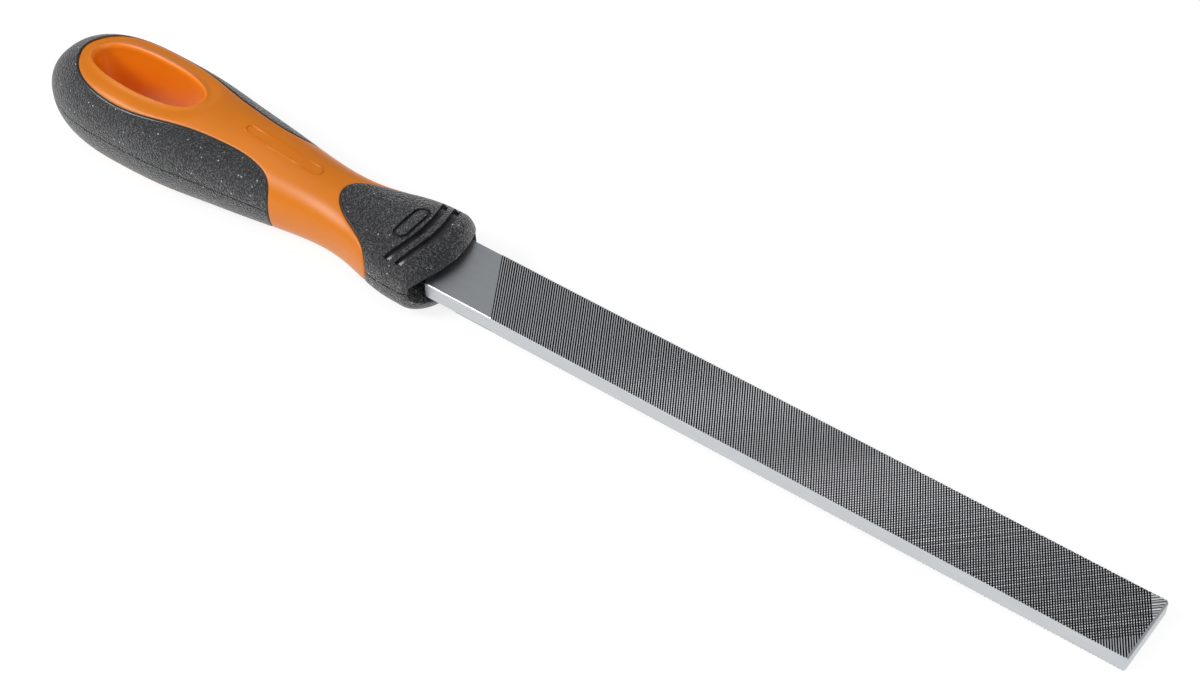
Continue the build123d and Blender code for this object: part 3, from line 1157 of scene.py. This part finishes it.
def ground_steel():
    """Ground steel: greys stretched along the blade, and fine scratches the same way."""
    material, tree, shader = new_material("blade_steel_ground")
    place = node(tree, "ShaderNodeTexCoord")
    stretch = node(tree, "ShaderNodeMapping")
    stretch.inputs["Scale"].default_value = (60, 3000, 3000)
    tree.links.new(place.outputs["Object"], stretch.inputs["Vector"])
    brush = node(tree, "ShaderNodeTexNoise", Scale=1.0, Detail=4.0, Roughness=0.6)
    tree.links.new(stretch.outputs["Vector"], brush.inputs["Vector"])
    tint = ramp(tree, brush.outputs["Fac"], 0.3, 0.7, *GROUND_COLOURS)
    tree.links.new(tint, shader.inputs["Base Color"])
    bump(tree, shader, brush.outputs["Fac"], 0.05, 0.00005)
    shader.inputs["Metallic"].default_value = 1.0
    shader.inputs["Roughness"].default_value = 0.38
    return material


def cut_steel():
    """The cut face, coloured by height: bare metal on the teeth, and painted shade that turns it nearly
    black in the cuts.
    """
    material, tree, shader = new_material("blade_steel_cut_painted_shade")
    place = node(tree, "ShaderNodeTexCoord")
    axes = node(tree, "ShaderNodeSeparateXYZ")
    tree.links.new(place.outputs["Object"], axes.inputs["Vector"])
    height = node(tree, "ShaderNodeMath", operation="ABSOLUTE")
    tree.links.new(axes.outputs["Z"], height.inputs[0])
    level = node(tree, "ShaderNodeMapRange")
    level.inputs["From Min"].default_value = CUT_SHADE_HEIGHT * MM
    level.inputs["From Max"].default_value = CREST_HEIGHT * MM
    tree.links.new(height.outputs["Value"], level.inputs["Value"])
    # Painted shade: the lower the cut face, the darker its colour, down to nearly black in the cuts.
    tint = ramp(tree, level.outputs["Result"], 0.0, 1.0, *CUT_SHADE_COLOURS)
    tree.links.new(tint, shader.inputs["Base Color"])
    shader.inputs["Metallic"].default_value = 1.0
    shader.inputs["Roughness"].default_value = 0.36
    return material


def floor_material():
    """A pale floor that gives off light of its own, so that it reads as white."""
    material, tree, shader = new_material("studio_floor")
    shader.inputs["Base Color"].default_value = FLOOR_GREY
    shader.inputs["Roughness"].default_value = 0.9
    shader.inputs["Emission Color"].default_value = (1, 1, 1, 1)
    shader.inputs["Emission Strength"].default_value = FLOOR_GLOW
    return material


# ---------------------------------------------------------------- studio

def add_floor(low, high):
    """A pale sheet under the file, tilted so that the butt and the tip both rest on it."""
    angle = math.radians(FLOOR_TILT)
    tip = Vector((high.x, 0, -CREST_HEIGHT * MM))
    bpy.ops.mesh.primitive_plane_add(size=FLOOR_SIZE)
    floor = bpy.context.object
    floor.name = "studio_floor"
    floor.rotation_euler = (0, -angle, 0)
    middle = (low.x + high.x) / 2
    floor.location = (middle, 0, tip.z - (tip.x - middle) * math.tan(angle) - FLOOR_CLEARANCE)
    floor.data.materials.append(floor_material())


def add_light(name, location, target, size, power):
    data = bpy.data.lights.new(name, "AREA")
    data.shape = "RECTANGLE"
    data.size, data.size_y = size
    data.energy = power
    light = bpy.data.objects.new(name, data)
    light.location = location
    aim = Vector(target) - Vector(location)
    light.rotation_euler = aim.to_track_quat("-Z", "Y").to_euler()
    bpy.context.scene.collection.objects.link(light)


def add_lights():
    for light in LIGHTS:
        add_light(*light)
    world = bpy.data.worlds.new("studio_world")
    world.use_nodes = True
    background = world.node_tree.nodes["Background"]
    background.inputs["Color"].default_value = WORLD_COLOUR
    background.inputs["Strength"].default_value = WORLD_STRENGTH
    bpy.context.scene.world = world


def add_camera():
    azimuth = math.radians(CAMERA_AZIMUTH)
    elevation = math.radians(CAMERA_ELEVATION)
    back = Vector((
        math.sin(azimuth) * math.cos(elevation),
        -math.cos(azimuth) * math.cos(elevation),
        math.sin(elevation),
    ))
    data = bpy.data.cameras.new("camera")
    data.lens = CAMERA_LENS
    data.sensor_width = CAMERA_SENSOR
    data.clip_start = 0.02
    camera = bpy.data.objects.new("camera", data)
    camera.location = Vector(CAMERA_TARGET) + back * CAMERA_DISTANCE
    camera.rotation_euler = (-back).to_track_quat("-Z", "Y").to_euler()
    bpy.context.scene.collection.objects.link(camera)
    bpy.context.scene.camera = camera


def main():
    core = [
        core_material("core_plastic", CORE_COLOURS),
        # The second core material is painted glow for the hanging hole's wall.
        core_material("core_plastic_wall_painted_glow", HOLE_WALL_GLOW_COLOURS),
    ]
    rubber = [grip_material(), border_material()]
    ground = ground_steel()
    cut = cut_steel()
    add_core(core)
    add_rear_grip(rubber)
    add_collar(rubber)
    add_blade_body(ground)
    add_tip_cap(ground)
    add_teeth([cut, ground])
    add_floor(*cad_box)
    add_lights()
    add_camera()
    bpy.context.scene.view_settings.view_transform = "Standard"


main()
